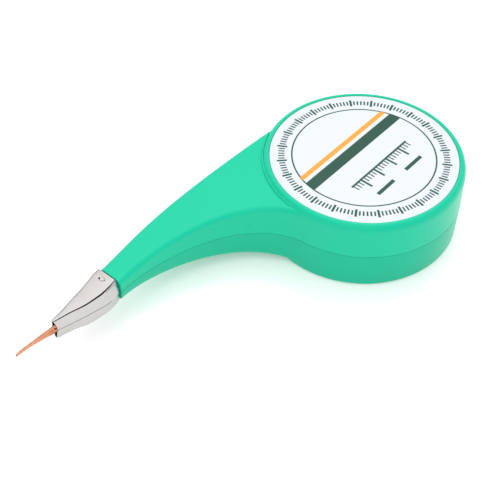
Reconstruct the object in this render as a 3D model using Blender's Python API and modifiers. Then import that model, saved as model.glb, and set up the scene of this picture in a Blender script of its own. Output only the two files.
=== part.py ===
"""Desoldering braid dispenser: green two-part case, printed label, folded metal nozzle, copper braid.

Frame: the origin is on the drum's axis at its flat base. +Z is up. The braid is drawn out along +X.
"""

import math

import bmesh
import bpy
from mathutils import Matrix, Vector

MM = 0.001
CLEARANCE = 0.3 * MM

# Case, drum end
DRUM_RADIUS = 25.0 * MM
DRUM_DRAFT = 0.15 * MM
BASE_FILLET = 0.8 * MM
CREST_Z = 19.7 * MM
RIM_DROP = 2.2 * MM
PARTING_Z = 9.9 * MM
SIDE_WALL = 1.6 * MM
FLOOR_THICKNESS = 1.5 * MM
ROOF_THICKNESS = 1.5 * MM

# Label in its recess
RIM_WIDTH = 1.6 * MM
LABEL_THICKNESS = 0.3 * MM
LABEL_BELOW_CREST = 0.25 * MM

# Lip that lines up the two halves
LIP_THICKNESS = 0.7 * MM
LIP_HEIGHT = 0.9 * MM

# Braid
BRAID_WIDTH = 3.0 * MM
BRAID_THICKNESS = 0.45 * MM
BRAID_EXPOSED = 10.2 * MM
BRAID_TIP_DRIFT = 0.7 * MM
BRAID_TIP_LIFT = 0.15 * MM
BRAID_MOUTH_TWIST = math.radians(5.0)
BRAID_TIP_TWIST = math.radians(27.0)
BRAID_TWIST_LEAD = 8.0 * MM
BRAID_TIP_NARROWING = 0.45
BRAID_TIP_CUT = 1.8 * MM

# Hub post and the ring ribs that hold the coil at mid height
POST_RADIUS = 9.7 * MM
POST_WALL = 1.5 * MM
BOSS_WALL = 1.5 * MM
OUTER_RIB_RADIUS = 18.0 * MM
OUTER_RIB_WALL = 1.2 * MM

# Neck rails at the parting plane, seen from above: two Bezier curves from the drum to the nozzle
# Their y sizes at the nozzle's end are counted from the braid's middle line, near side positive
NEAR_START = math.radians(6.1)
NEAR_LEAD = 18.2 * MM
NEAR_PULL_BACK = 11.8 * MM
NEAR_PULL_Y = 2.1 * MM
NEAR_END_Y = 3.35 * MM
FAR_START = math.radians(-79.6)
FAR_LEAD = 40.0 * MM
FAR_LEAD_ANGLE = math.radians(-4.6)
FAR_PULL_BACK = 11.6 * MM
FAR_PULL_Y = -4.3 * MM
FAR_END_Y = -3.5 * MM
NECK_END_X = 63.9 * MM
NECK_HALF_HEIGHTS = (8.9 * MM, 7.8 * MM, 4.15 * MM, 3.2 * MM)
NECK_CORNER_START = 1.7 * MM
NECK_CORNER_END = 1.5 * MM
NECK_DRAFT = 0.035
NECK_WALL = 1.2 * MM
NECK_HOLLOW_CORNER = 0.25
NECK_ROOT_INSET = 1.0 * MM

# Tenon that the nozzle is pushed on to
TENON_LENGTH = 5.6 * MM
TENON_NEAR_Y = 1.9 * MM
TENON_FAR_Y = -2.2 * MM
TENON_HALF_HEIGHT = 2.5 * MM
TENON_WALL = 0.7 * MM

# Folded nozzle
NOZZLE_LENGTH = 16.8 * MM
SHEET = 0.25 * MM
SEAM_REAR = 0.45 * MM
SEAM_MOUTH = 0.2 * MM
DIMPLE_ACROSS = 1.6 * MM
DIMPLE_ALONG = 0.8 * MM
DIMPLE_DEPTH = 0.12 * MM
DIMPLE_BEHIND_MOUTH = 15.1 * MM
DIMPLE_Y = -0.5 * MM
# Each station: share of the length, then y from the braid's middle line of the far top edge,
# the near top edge, the far fold, the near fold and the near bottom edge, then the half height
NOZZLE_STATIONS = (
    (0.00, -3.7 * MM, 2.35 * MM, -4.1 * MM, 2.85 * MM, 2.5 * MM, 3.20 * MM),
    (0.10, -3.5 * MM, 2.6 * MM, -4.0 * MM, 3.4 * MM, 3.0 * MM, 3.20 * MM),
    (0.26, -2.8 * MM, 2.8 * MM, -3.5 * MM, 3.6 * MM, 3.3 * MM, 3.15 * MM),
    (0.42, -2.2 * MM, 2.6 * MM, -2.9 * MM, 3.1 * MM, 3.1 * MM, 3.10 * MM),
    (0.56, -1.8 * MM, 2.3 * MM, -2.4 * MM, 2.65 * MM, 2.7 * MM, 3.10 * MM),
    (0.76, -1.15 * MM, 1.35 * MM, -1.7 * MM, 1.8 * MM, 1.4 * MM, 3.05 * MM),
    (1.00, -0.5 * MM, 0.5 * MM, -0.85 * MM, 0.8 * MM, 0.4 * MM, 3.00 * MM),
)

# Smoothness
TURN_STEPS = 96
DIMPLE_STEPS = 16
FILLET_STEPS = 4
RIM_STEPS = 6
NECK_STATIONS = 18
STRAND_STATIONS = 8
SHARP_ANGLE = math.radians(32.0)

# Levels and radii that follow from the sizes above
LABEL_TOP_Z = CREST_Z - LABEL_BELOW_CREST
RECESS_Z = LABEL_TOP_Z - LABEL_THICKNESS - CLEARANCE
RECESS_RADIUS = DRUM_RADIUS - DRUM_DRAFT - RIM_WIDTH
LABEL_RADIUS = RECESS_RADIUS - CLEARANCE
CEILING_Z = RECESS_Z - ROOF_THICKNESS
CAVITY_RADIUS = DRUM_RADIUS - SIDE_WALL
BRAID_Y = -(CAVITY_RADIUS - CLEARANCE - BRAID_THICKNESS / 2)
COIL_LOW_Z = PARTING_Z - BRAID_WIDTH / 2
COIL_HIGH_Z = PARTING_Z + BRAID_WIDTH / 2
COIL_BORE = POST_RADIUS + CLEARANCE
COIL_RADIUS = -BRAID_Y - BRAID_THICKNESS / 2 - CLEARANCE
RIB_LOW_Z = COIL_LOW_Z - CLEARANCE
RIB_HIGH_Z = COIL_HIGH_Z + CLEARANCE
LOWER_TOP_Z = PARTING_Z - CLEARANCE / 2
UPPER_BOTTOM_Z = PARTING_Z + CLEARANCE / 2
MOUTH_X = NECK_END_X + CLEARANCE + NOZZLE_LENGTH
OVERCUT = 3.0 * MM


def clear_scene():
    """Remove every object that is already in the file."""
    for obj in list(bpy.data.objects):
        bpy.data.objects.remove(obj, do_unlink=True)


def new_collection(name):
    """Make a collection in the scene."""
    collection = bpy.data.collections.new(name)
    bpy.context.scene.collection.children.link(collection)
    return collection


def plain_material(name, colour, roughness, metallic=0.0):
    """Make a plain Principled material."""
    material = bpy.data.materials.new(name)
    material.use_nodes = True
    shader = material.node_tree.nodes["Principled BSDF"]
    shader.inputs["Base Color"].default_value = (*colour, 1.0)
    shader.inputs["Roughness"].default_value = roughness
    shader.inputs["Metallic"].default_value = metallic
    return material


def add_mesh_object(name, mesh, collection):
    """Put a mesh into a collection as a named object."""
    obj = bpy.data.objects.new(name, mesh)
    collection.objects.link(obj)
    return obj


def turned(name, profile, collection, closed=True):
    """Turn a profile of (radius, height) points about the Z axis with the Screw modifier."""
    mesh = bpy.data.meshes.new(name)
    points = [(radius, 0.0, height) for radius, height in profile]
    edges = [(i, i + 1) for i in range(len(points) - 1)]
    if closed:
        edges.append((len(points) - 1, 0))
    mesh.from_pydata(points, edges, [])
    obj = add_mesh_object(name, mesh, collection)
    screw = obj.modifiers.new("turn", "SCREW")
    screw.axis = "Z"
    screw.angle = math.tau
    screw.steps = TURN_STEPS
    screw.render_steps = TURN_STEPS
    screw.use_merge_vertices = True
    screw.merge_threshold = 0.01 * MM
    return obj


def loft(name, rings, collection):
    """Join rings of equal point count into one closed solid with flat ends."""
    work = bmesh.new()
    rows = [[work.verts.new(point) for point in ring] for ring in rings]
    count = len(rows[0])
    for row, following in zip(rows, rows[1:]):
        for i in range(count):
            j = (i + 1) % count
            work.faces.new((row[i], row[j], following[j], following[i]))
    work.faces.new(rows[0])
    work.faces.new(list(reversed(rows[-1])))
    bmesh.ops.recalc_face_normals(work, faces=work.faces)
    mesh = bpy.data.meshes.new(name)
    work.to_mesh(mesh)
    work.free()
    return add_mesh_object(name, mesh, collection)


def block(name, low, high, collection):
    """Make a box between two corners."""
    work = bmesh.new()
    bmesh.ops.create_cube(work, size=1.0)
    centre = (Vector(low) + Vector(high)) / 2
    size = Vector(high) - Vector(low)
    bmesh.ops.transform(work, matrix=Matrix.Diagonal((*size, 1.0)), verts=work.verts)
    bmesh.ops.translate(work, vec=centre, verts=work.verts)
    mesh = bpy.data.meshes.new(name)
    work.to_mesh(mesh)
    work.free()
    return add_mesh_object(name, mesh, collection)


def combine(obj, other, operation):
    """Add one exact Boolean to an object."""
    modifier = obj.modifiers.new(f"{operation.lower()} {other.name}", "BOOLEAN")
    modifier.operation = operation
    modifier.solver = "EXACT"
    modifier.object = other


def settle(obj, material, origin):
    """Turn the modifiers into one mesh, move its origin, shade it and give it its material."""
    graph = bpy.context.evaluated_depsgraph_get()
    graph.update()
    mesh = bpy.data.meshes.new_from_object(obj.evaluated_get(graph))
    mesh.name = obj.name
    obj.modifiers.clear()
    obj.data = mesh
    mesh.transform(Matrix.Translation(-Vector(origin)))
    obj.location = origin
    mesh.materials.clear()
    mesh.materials.append(material)
    mesh.polygons.foreach_set("use_smooth", [True] * len(mesh.polygons))
    mesh.polygons.foreach_set("material_index", [0] * len(mesh.polygons))
    mesh.set_sharp_from_angle(angle=SHARP_ANGLE)
    mesh.update()


def arc(centre, radii, start, end, steps):
    """Points on an ellipse's arc in a turned profile, angles in degrees."""
    points = []
    for i in range(steps + 1):
        angle = math.radians(start + (end - start) * i / steps)
        points.append((centre[0] + radii[0] * math.cos(angle), centre[1] + radii[1] * math.sin(angle)))
    return points


def bezier(points, share):
    """Cubic Bezier value for four numbers or four points."""
    rest = 1.0 - share
    weights = (rest ** 3, 3 * rest ** 2 * share, 3 * rest * share ** 2, share ** 3)
    if isinstance(points[0], float):
        return sum(weight * value for weight, value in zip(weights, points))
    return sum((weight * Vector(point) for weight, point in zip(weights, points)), Vector((0.0, 0.0)))


def slope(points, share):
    """Unit direction of a cubic Bezier curve in the plan."""
    step = 0.001
    ahead = bezier(points, share + step)
    behind = bezier(points, share - step)
    return (ahead - behind).normalized()


def on_circle(radius, angle):
    """Point on a circle about the drum's axis."""
    return Vector((radius * math.cos(angle), radius * math.sin(angle)))


def neck_rails():
    """Near and far rails of the neck at the parting plane."""
    near_start = on_circle(DRUM_RADIUS, NEAR_START)
    near_lead = near_start + on_circle(NEAR_LEAD, NEAR_START - math.pi / 2)
    near_pull = (NECK_END_X - NEAR_PULL_BACK, BRAID_Y + NEAR_PULL_Y)
    near = (near_start, near_lead, near_pull, (NECK_END_X, BRAID_Y + NEAR_END_Y))
    far_start = on_circle(DRUM_RADIUS, FAR_START)
    far_lead = far_start + on_circle(FAR_LEAD, FAR_LEAD_ANGLE)
    far_pull = (NECK_END_X - FAR_PULL_BACK, BRAID_Y + FAR_PULL_Y)
    far = (far_start, far_lead, far_pull, (NECK_END_X, BRAID_Y + FAR_END_Y))
    return near, far


def neck_ring(near, far, half_height, corner, draft):
    """One rounded section of the neck between a near and a far point, widest at the parting plane."""
    middle = (near + far) / 2
    across = (near - far) / 2
    half_width = across.length
    across.normalize()
    top_width = half_width - draft * half_height
    quarter = [(half_width, 0.0)]
    for i in range(FILLET_STEPS):
        angle = math.pi / 2 * i / (FILLET_STEPS - 1)
        out = top_width - corner + corner * math.cos(angle)
        quarter.append((out, half_height - corner + corner * math.sin(angle)))
    upper = quarter + [(-out, height) for out, height in reversed(quarter)]
    lower = [(out, -height) for out, height in reversed(upper[1:-1])]
    ring = []
    for out, height in upper + lower:
        place = middle + across * out
        ring.append((place.x, place.y, PARTING_Z + height))
    return ring


def neck_outside(collection):
    """Solid outer shape of the neck, rooted inside the drum's wall."""
    near, far = neck_rails()
    rings = []
    for i in range(NECK_STATIONS + 1):
        share = i / NECK_STATIONS
        near_point = bezier(near, share)
        far_point = bezier(far, share)
        if i == 0:
            near_point = on_circle(DRUM_RADIUS - NECK_ROOT_INSET, NEAR_START)
            far_point = on_circle(DRUM_RADIUS - NECK_ROOT_INSET, FAR_START)
        corner = NECK_CORNER_START + (NECK_CORNER_END - NECK_CORNER_START) * share
        half_height = bezier(NECK_HALF_HEIGHTS, share)
        rings.append(neck_ring(near_point, far_point, half_height, corner, NECK_DRAFT))
    return loft("neck_outside", rings, collection)


def neck_inside(collection):
    """Hollow of the neck, one wall thickness inside the outer shape.

    It starts inside the drum, where its far side clears the strand, and opens the drum's wall.
    """
    near, far = neck_rails()
    rings = []
    for i in range(NECK_STATIONS + 1):
        share = i / NECK_STATIONS
        near_way = slope(near, share)
        far_way = slope(far, share)
        near_point = bezier(near, share) + NECK_WALL * Vector((near_way.y, -near_way.x))
        far_point = bezier(far, share) + NECK_WALL * Vector((-far_way.y, far_way.x))
        half_height = bezier(NECK_HALF_HEIGHTS, share) - NECK_WALL
        corner = half_height * NECK_HOLLOW_CORNER
        if i == 0:
            far_point = Vector((0.0, BRAID_Y - BRAID_THICKNESS / 2 - CLEARANCE / 2))
        if i == NECK_STATIONS:
            near_point.x = NECK_END_X - NECK_WALL
            far_point.x = NECK_END_X - NECK_WALL
        rings.append(neck_ring(near_point, far_point, half_height, corner, NECK_DRAFT))
    return loft("neck_inside", rings, collection)


def tenon(collection):
    """Solid tongue that fits inside the nozzle's rear."""
    low = (NECK_END_X - NECK_WALL, BRAID_Y + TENON_FAR_Y, PARTING_Z - TENON_HALF_HEIGHT)
    high = (NECK_END_X + TENON_LENGTH, BRAID_Y + TENON_NEAR_Y, PARTING_Z + TENON_HALF_HEIGHT)
    return block("tenon", low, high, collection)


def tenon_passage(collection):
    """Straight way through the neck's end and the tenon."""
    half_height = TENON_HALF_HEIGHT - TENON_WALL
    far_y = BRAID_Y + TENON_FAR_Y + TENON_WALL
    near_y = BRAID_Y + TENON_NEAR_Y - TENON_WALL
    low = (NECK_END_X - NECK_WALL - OVERCUT, far_y, PARTING_Z - half_height)
    high = (NECK_END_X + TENON_LENGTH + OVERCUT, near_y, PARTING_Z + half_height)
    return block("tenon_passage", low, high, collection)


def drum_profile():
    """Outer profile of the whole drum, from the axis at the top down the side to the axis at the base."""
    rim = arc((RECESS_RADIUS, CREST_Z - RIM_DROP), (RIM_WIDTH, RIM_DROP), 90, 0, RIM_STEPS)
    foot_centre = (DRUM_RADIUS - DRUM_DRAFT - BASE_FILLET, BASE_FILLET)
    foot = arc(foot_centre, (BASE_FILLET, BASE_FILLET), 0, -90, FILLET_STEPS)
    top = [(0.0, RECESS_Z), (RECESS_RADIUS, RECESS_Z)]
    return top + rim + [(DRUM_RADIUS, PARTING_Z)] + foot + [(0.0, 0.0)]


def lower_hollow_profile():
    """Hollow of the lower half, round the hub post and the outer ring rib."""
    ledge = COIL_BORE + BOSS_WALL
    rib_end = OUTER_RIB_RADIUS + OUTER_RIB_WALL
    above = PARTING_Z + OVERCUT
    return [
        (CAVITY_RADIUS, above),
        (CAVITY_RADIUS, FLOOR_THICKNESS),
        (rib_end, FLOOR_THICKNESS),
        (rib_end, RIB_LOW_Z),
        (OUTER_RIB_RADIUS, RIB_LOW_Z),
        (OUTER_RIB_RADIUS, FLOOR_THICKNESS),
        (ledge, FLOOR_THICKNESS),
        (ledge, RIB_LOW_Z),
        (POST_RADIUS, RIB_LOW_Z),
        (POST_RADIUS, above),
    ]


def upper_hollow_profile():
    """Hollow of the upper half, with the groove for the lip and the rings that hold the coil down."""
    boss_inner = COIL_BORE
    boss_outer = COIL_BORE + BOSS_WALL
    rib_end = OUTER_RIB_RADIUS + OUTER_RIB_WALL
    groove_radius = CAVITY_RADIUS + LIP_THICKNESS + CLEARANCE
    groove_z = LOWER_TOP_Z + LIP_HEIGHT + CLEARANCE
    below = PARTING_Z - OVERCUT
    return [
        (0.0, CEILING_Z),
        (boss_inner, CEILING_Z),
        (boss_inner, RIB_HIGH_Z),
        (boss_outer, RIB_HIGH_Z),
        (boss_outer, CEILING_Z),
        (OUTER_RIB_RADIUS, CEILING_Z),
        (OUTER_RIB_RADIUS, RIB_HIGH_Z),
        (rib_end, RIB_HIGH_Z),
        (rib_end, CEILING_Z),
        (CAVITY_RADIUS, CEILING_Z),
        (CAVITY_RADIUS, groove_z),
        (groove_radius, groove_z),
        (groove_radius, below),
        (0.0, below),
    ]


def post_profile():
    """Part of the tubular hub post that rises into the upper half."""
    inner = POST_RADIUS - POST_WALL
    top = CEILING_Z - CLEARANCE
    bottom = RIB_LOW_Z - OVERCUT
    return [(POST_RADIUS, top), (POST_RADIUS, bottom), (inner, bottom), (inner, top)]


def post_bore_profile():
    """Bore of the hub post, open at the top."""
    inner = POST_RADIUS - POST_WALL
    return [(0.0, CREST_Z), (inner, CREST_Z), (inner, FLOOR_THICKNESS), (0.0, FLOOR_THICKNESS)]


def lip_profile():
    """Lip of the lower half that stands inside the upper half's groove."""
    outer = CAVITY_RADIUS + LIP_THICKNESS
    bottom = LOWER_TOP_Z - LIP_HEIGHT
    top = LOWER_TOP_Z + LIP_HEIGHT
    return [(outer, top), (outer, bottom), (CAVITY_RADIUS, bottom), (CAVITY_RADIUS, top)]


def build_case(parts, cutters, material):
    """Two halves of the case, split at the parting plane."""
    reach = 2 * MOUTH_X
    neck = neck_outside(cutters)
    hollow_neck = neck_inside(cutters)
    tongue = tenon(cutters)
    passage = tenon_passage(cutters)
    above = block("above_parting", (-reach, -reach, LOWER_TOP_Z), (reach, reach, reach), cutters)
    below = block("below_parting", (-reach, -reach, -reach), (reach, reach, UPPER_BOTTOM_Z), cutters)
    post = turned("post", post_profile(), cutters)
    post_bore = turned("post_bore", post_bore_profile(), cutters, closed=False)
    lip = turned("lip", lip_profile(), cutters)
    lower_hollow = turned("lower_hollow", lower_hollow_profile(), cutters)
    upper_hollow = turned("upper_hollow", upper_hollow_profile(), cutters, closed=False)

    upper = turned("case_upper", drum_profile(), parts, closed=False)
    combine(upper, neck, "UNION")
    combine(upper, tongue, "UNION")
    combine(upper, below, "DIFFERENCE")
    combine(upper, upper_hollow, "DIFFERENCE")
    combine(upper, hollow_neck, "DIFFERENCE")
    combine(upper, passage, "DIFFERENCE")
    settle(upper, material, (0.0, 0.0, PARTING_Z))

    lower = turned("case_lower", drum_profile(), parts, closed=False)
    combine(lower, neck, "UNION")
    combine(lower, tongue, "UNION")
    combine(lower, above, "DIFFERENCE")
    combine(lower, lower_hollow, "DIFFERENCE")
    combine(lower, lip, "UNION")
    combine(lower, hollow_neck, "DIFFERENCE")
    combine(lower, passage, "DIFFERENCE")
    combine(lower, post, "UNION")
    combine(lower, post_bore, "DIFFERENCE")
    settle(lower, material, (0.0, 0.0, 0.0))


def build_label(parts, material):
    """Thin round label."""
    bottom = LABEL_TOP_Z - LABEL_THICKNESS
    profile = [(0.0, LABEL_TOP_Z), (LABEL_RADIUS, LABEL_TOP_Z), (LABEL_RADIUS, bottom), (0.0, bottom)]
    label = turned("label", profile, parts, closed=False)
    settle(label, material, (0.0, 0.0, bottom))


def inset_points(points, thickness):
    """Move an open chain of section points to its left by a sheet thickness."""
    normals = []
    for start, end in zip(points, points[1:]):
        way = (end - start).normalized()
        normals.append(Vector((-way.y, way.x)))
    inner = [points[0] + normals[0] * thickness]
    for point, before, after in zip(points[1:-1], normals, normals[1:]):
        bisector = (before + after).normalized()
        inner.append(point + bisector * thickness / bisector.dot(before))
    inner.append(points[-1] + normals[-1] * thickness)
    return inner


def nozzle_ring(station):
    """Open section of the folded sheet, from one side of the seam round to the other."""
    share, far_top, near_top, far_fold, near_fold, near_bottom, half_height = station
    seam = SEAM_REAR + (SEAM_MOUTH - SEAM_REAR) * share
    fold = Vector((near_fold, 0.0))
    shoulder = Vector((near_top, half_height))
    upright = (shoulder - fold).normalized()
    outer = [
        shoulder - Vector((seam + SHEET, 0.0)),
        Vector((far_top, half_height)),
        Vector((far_fold, 0.0)),
        Vector((far_top, -half_height)),
        Vector((near_bottom, -half_height)),
        fold,
        shoulder - upright * SHEET / 2,
    ]
    inner = inset_points(outer, SHEET)
    x = NECK_END_X + CLEARANCE + NOZZLE_LENGTH * share
    return [(x, BRAID_Y + p.x, PARTING_Z + p.y) for p in outer + list(reversed(inner))]


def build_nozzle(parts, cutters, material):
    """Nozzle folded from sheet metal, open at both ends and along its seam."""
    rings = [nozzle_ring(station) for station in NOZZLE_STATIONS]
    nozzle = loft("nozzle", rings, parts)
    work = bmesh.new()
    bmesh.ops.create_uvsphere(work, u_segments=DIMPLE_STEPS, v_segments=DIMPLE_STEPS // 2, radius=0.5)
    scale = Matrix.Diagonal((DIMPLE_ALONG, DIMPLE_ACROSS, 2 * DIMPLE_DEPTH, 1.0))
    bmesh.ops.transform(work, matrix=scale, verts=work.verts)
    top = NOZZLE_STATIONS[0][-1]
    place = Vector((MOUTH_X - DIMPLE_BEHIND_MOUTH, BRAID_Y + DIMPLE_Y, PARTING_Z + top))
    bmesh.ops.translate(work, vec=place, verts=work.verts)
    mesh = bpy.data.meshes.new("dimple")
    work.to_mesh(mesh)
    work.free()
    dimple = add_mesh_object("dimple", mesh, cutters)
    combine(nozzle, dimple, "DIFFERENCE")
    settle(nozzle, material, (NECK_END_X, BRAID_Y, PARTING_Z))


def strand_ring(x, drift, lift, twist, width):
    """One section of the flat braid."""
    ring = []
    for thick_side, wide_side in ((1, 1), (-1, 1), (-1, -1), (1, -1)):
        across = thick_side * BRAID_THICKNESS / 2
        along = wide_side * width / 2
        y = across * math.cos(twist) + along * math.sin(twist)
        z = along * math.cos(twist) - across * math.sin(twist)
        ring.append((x, BRAID_Y - drift + y, PARTING_Z + lift + z))
    return ring


def build_braid(parts, material):
    """Wound coil in the drum and the strand that runs out through the nozzle."""
    profile = [
        (COIL_RADIUS, COIL_HIGH_Z),
        (COIL_RADIUS, COIL_LOW_Z),
        (COIL_BORE, COIL_LOW_Z),
        (COIL_BORE, COIL_HIGH_Z),
    ]
    coil = turned("braid_coil", profile, parts)
    settle(coil, material, (0.0, 0.0, PARTING_Z))

    rings = [strand_ring(x, 0.0, 0.0, 0.0, BRAID_WIDTH) for x in (0.0, MOUTH_X - BRAID_TWIST_LEAD)]
    for i in range(STRAND_STATIONS + 1):
        share = i / STRAND_STATIONS
        x = MOUTH_X + BRAID_EXPOSED * share
        bend = share * (2 - share)
        twist = BRAID_MOUTH_TWIST + (BRAID_TIP_TWIST - BRAID_MOUTH_TWIST) * bend
        from_tip = BRAID_EXPOSED * (1 - share)
        narrowing = 1.0
        if from_tip < BRAID_TIP_CUT:
            narrowing = 1 - (1 - BRAID_TIP_NARROWING) * (1 - from_tip / BRAID_TIP_CUT)
        width = BRAID_WIDTH * narrowing
        rings.append(strand_ring(x, BRAID_TIP_DRIFT * bend, BRAID_TIP_LIFT * bend, twist, width))
    strand = loft("braid_strand", rings, parts)
    settle(strand, material, (MOUTH_X, BRAID_Y, PARTING_Z))


def main():
    """Build the dispenser."""
    clear_scene()
    parts = new_collection("desoldering_braid_dispenser")
    cutters = new_collection("cutters")
    plastic = plain_material("case_plastic", (0.02, 0.62, 0.38), 0.4)
    paper = plain_material("label_paper", (0.86, 0.9, 0.95), 0.5)
    steel = plain_material("nozzle_steel", (0.72, 0.7, 0.68), 0.3, 1.0)
    copper = plain_material("braid_copper", (0.8, 0.38, 0.22), 0.45, 1.0)
    build_case(parts, cutters, plastic)
    build_label(parts, paper)
    build_nozzle(parts, cutters, steel)
    build_braid(parts, copper)
    for obj in cutters.objects:
        obj.hide_render = True
        obj.display_type = "WIRE"


main()
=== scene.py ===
"""Looks of a desoldering braid dispenser: moulded case, printed label, folded nozzle and woven braid.

Lengths are in metres in the frame's own axes: +Z is up and the braid is drawn out along +X.
"""

import math
import random

import bmesh
import bpy
from bpy.props import FloatProperty, FloatVectorProperty, IntProperty, PointerProperty
from mathutils import Matrix, Vector
from mathutils.bvhtree import BVHTree


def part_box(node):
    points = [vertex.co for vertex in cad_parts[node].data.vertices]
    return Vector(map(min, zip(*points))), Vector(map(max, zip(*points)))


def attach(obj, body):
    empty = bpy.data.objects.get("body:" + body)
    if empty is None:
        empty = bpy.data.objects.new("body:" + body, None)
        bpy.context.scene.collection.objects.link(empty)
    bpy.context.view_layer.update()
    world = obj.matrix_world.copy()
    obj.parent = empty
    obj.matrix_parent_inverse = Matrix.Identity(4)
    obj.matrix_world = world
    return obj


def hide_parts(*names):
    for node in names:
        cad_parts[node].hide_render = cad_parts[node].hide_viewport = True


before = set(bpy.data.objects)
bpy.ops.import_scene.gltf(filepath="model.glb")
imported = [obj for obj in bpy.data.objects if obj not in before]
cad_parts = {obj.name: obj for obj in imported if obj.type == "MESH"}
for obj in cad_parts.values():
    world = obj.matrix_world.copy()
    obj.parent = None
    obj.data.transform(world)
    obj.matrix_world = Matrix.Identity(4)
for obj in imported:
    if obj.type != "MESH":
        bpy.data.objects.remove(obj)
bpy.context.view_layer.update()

bl_info = {
    "name": "Desoldering Braid Dispenser",
    "version": (1, 0, 0),
    "blender": (4, 5, 0),
    "location": "View3D > Sidebar > Dispenser",
    "description": "Builds the case, label, nozzle and braid of a desoldering braid dispenser",
    "category": "Add Mesh",
}

MM = 0.001

# Places and outer sizes that come from the frame
TOP_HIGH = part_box("case_upper")[1]
BASE_LOW, BASE_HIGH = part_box("case_lower")
LABEL_LOW, LABEL_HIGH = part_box("label")
NOZZLE_LOW, NOZZLE_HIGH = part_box("nozzle")
COIL_LOW, COIL_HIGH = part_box("braid_coil")
STRAND_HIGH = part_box("braid_strand")[1]
CLEARANCE = 0.3 * MM
DRUM_RADIUS = -BASE_LOW.x
CREST_Z = TOP_HIGH.z
POST_TOP_Z = BASE_HIGH.z
TENON_END_X = BASE_HIGH.x
PARTING_Z = (COIL_LOW.z + COIL_HIGH.z) / 2
BRAID_WIDTH = COIL_HIGH.z - COIL_LOW.z
COIL_BORE = 10.0 * MM
COIL_RADIUS = COIL_HIGH.x
NECK_END_X = NOZZLE_LOW.x - CLEARANCE
MOUTH_X = NOZZLE_HIGH.x
TIP_X = STRAND_HIGH.x

# Shape constants that the frame doesn't give; the wires' spacing is in diameters, the weave's in radii
BRAID_THICKNESS = 0.45 * MM
BRAID_Y = -(COIL_RADIUS + CLEARANCE + BRAID_THICKNESS / 2)
CAVITY_RADIUS = COIL_RADIUS + BRAID_THICKNESS + 2 * CLEARANCE
NEAR_START = math.radians(6.1)
NEAR_LEAD = 18.2 * MM
NEAR_PULL = Vector((-11.8 * MM, 2.1 * MM))
NEAR_END_Y = 3.35 * MM
FAR_START = math.radians(-79.6)
FAR_LEAD = 40.0 * MM
FAR_LEAD_ANGLE = math.radians(-4.6)
FAR_PULL = Vector((-11.6 * MM, -4.3 * MM))
FAR_END_Y = -3.5 * MM
NECK_HALF_HEIGHTS = (8.9 * MM, 7.8 * MM, 4.15 * MM, 3.2 * MM)
SHARP_ANGLE = math.radians(30.0)
CORNER_STEPS = 4
SKIRT_SHARES = (0.5, 0.8, 1.0)
WIRE_SPACING = 1.22
WEAVE_HEIGHT = 0.75
MOULD_PIPS = (
    (31.4 * MM, -10.1 * MM, PARTING_Z + 2.5 * MM),
    (31.4 * MM, -10.1 * MM, PARTING_Z - 3.7 * MM),
    (6.3 * MM, 24.15 * MM, PARTING_Z + 0.8 * MM),
)


def length_setting(name, description, default):
    """Property that holds a length."""
    return FloatProperty(name=name, description=description, default=default, unit="LENGTH", precision=5)


def angle_setting(name, description, degrees):
    """Property that holds an angle."""
    return FloatProperty(name=name, description=description, default=math.radians(degrees), unit="ROTATION")


def colour_setting(name, description, default):
    """Property that holds a colour."""
    return FloatVectorProperty(
        name=name, description=description, default=default, subtype="COLOR", size=3, min=0.0, max=1.0)


class CaseSizes(bpy.types.PropertyGroup):
    """Sizes of the two moulded halves of the case."""

    rim_width: length_setting("Rim width", "Width of the raised rim round the label", 1.75 * MM)
    rim_drop: length_setting(
        "Rim drop", "Height over which the rim rolls off into the side wall", 2.2 * MM)
    rim_inner_round: length_setting(
        "Rim inner round", "Radius of the rim's edge beside the label", 0.3 * MM)
    label_sink: length_setting(
        "Label sink", "Depth of the recess's floor below the rim's crest", 0.85 * MM)
    draft: length_setting(
        "Draft", "How much smaller the drum is at its top and base than at the seam", 0.15 * MM)
    foot_round: length_setting("Foot round", "Radius of the drum's bottom edge", 0.8 * MM)
    wall: length_setting("Wall", "Thickness of floor and roof", 1.5 * MM)
    neck_wall: length_setting("Neck wall", "Thickness of the neck's wall", 1.2 * MM)
    seam_gap: length_setting("Seam gap", "Gap between the two halves", 0.06 * MM)
    seam_round: length_setting("Seam round", "Radius of the two edges along the seam", 0.16 * MM)
    skirt_height: length_setting(
        "Skirt height", "Height above the seam over which the upper wall flares out", 2.3 * MM)
    corner_start: length_setting(
        "Neck corner at the drum", "Radius of the neck's edges at the drum", 1.7 * MM)
    corner_end: length_setting(
        "Neck corner at the nozzle", "Radius of the neck's edges at the nozzle", 1.5 * MM)
    neck_draft: FloatProperty(
        name="Neck draft", description="Narrowing of the neck per unit of height", default=0.035)
    root_fillet: length_setting(
        "Root fillet", "Fillet between the drum's wall and the neck's top and bottom", 0.55 * MM)
    turn_steps: IntProperty(
        name="Turn steps", description="Facets round the drum", default=288, min=24)
    neck_stations: IntProperty(
        name="Neck stations", description="Sections along the neck", default=72, min=8)


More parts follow.
